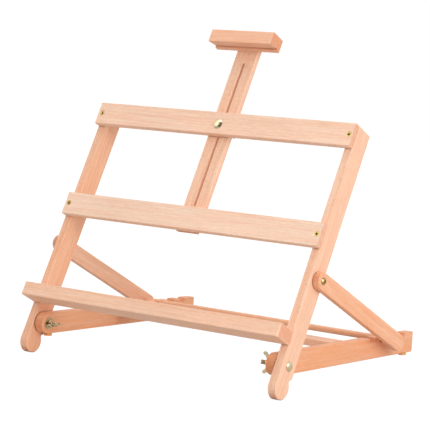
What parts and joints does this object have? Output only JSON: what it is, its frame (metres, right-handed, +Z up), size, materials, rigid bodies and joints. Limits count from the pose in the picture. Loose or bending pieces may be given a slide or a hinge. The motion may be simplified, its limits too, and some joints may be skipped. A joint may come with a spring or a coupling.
{
  "type": "wooden table-top artist easel",
  "caption": "Folding table-top artist easel of beech: leaning frame with ledge and sliding canvas mast, notched base rails and prop arms.",
  "frame": {"origin": "middle of the footprint's bounding box, on the table top", "axes": "+Z up, +X to the right as the painter faces the canvas, +Y to the rear"},
  "size_m": [0.4664, 0.3802, 0.4645],
  "materials": {
    "beech_frame": "sanded beech, oiled satin",
    "beech_rails": "sanded beech, oiled satin",
    "beech_dowel": "turned beech dowel, satin",
    "brass_screws": "polished",
    "plated_steel": "bright yellow-zinc plate",
    "amber_rubber": "soft translucent"
  },
  "bodies": {
    "base": {"base_rail_left": "beech_frame", "base_rail_right": "beech_frame", "base_cross_rail": "beech_frame", "rubber_feet": "amber_rubber", "pivot_washers": "plated_steel"},
    "frame": {"upright_left": "beech_frame", "upright_right": "beech_frame", "top_rail": "beech_rails", "middle_rail": "beech_rails", "canvas_ledge": "beech_rails", "rail_screws": "brass_screws", "clamp_bolts": "plated_steel", "nut_washers": "plated_steel", "arm_pivot_screws": "brass_screws"},
    "prop": {"prop_arm_left": "beech_frame", "prop_arm_right": "beech_frame", "prop_dowel": "beech_dowel"},
    "mast_slider": {"mast": "beech_rails", "canvas_holder": "beech_rails"},
    "left_nut": {"base_wing_nut_left": "plated_steel"},
    "right_nut": {"base_wing_nut_right": "plated_steel"},
    "mast_nut": {"mast_wing_nut": "plated_steel"}
  },
  "joints": [
    {"name": "frame_tilt", "type": "hinge", "parent": "base", "child": "frame", "pos_m": [0, -0.15911, 0.04208], "axis": [1, 0, 0], "range_deg": [0, 106]},
    {"name": "prop_swing", "type": "hinge", "parent": "frame", "child": "prop", "pos_m": [0, -0.09875, 0.14776], "axis": [1, 0, 0], "range_deg": [0, 89]},
    {"name": "mast_slide", "type": "slide", "parent": "frame", "child": "mast_slider", "axis": [0, 0.4959, 0.8684], "range_m": [-0.0994, 0.1211]},
    {"name": "left_nut_turn", "type": "hinge", "parent": "frame", "child": "left_nut", "pos_m": [0, -0.15911, 0.04208], "axis": [1, 0, 0], "continuous": true},
    {"name": "right_nut_turn", "type": "hinge", "parent": "frame", "child": "right_nut", "pos_m": [0, -0.15911, 0.04208], "axis": [1, 0, 0], "continuous": true},
    {"name": "mast_nut_turn", "type": "hinge", "parent": "frame", "child": "mast_nut", "pos_m": [-0.0015, 0.00058, 0.32169], "axis": [0, 0.8684, -0.4959], "continuous": true}
  ]
}
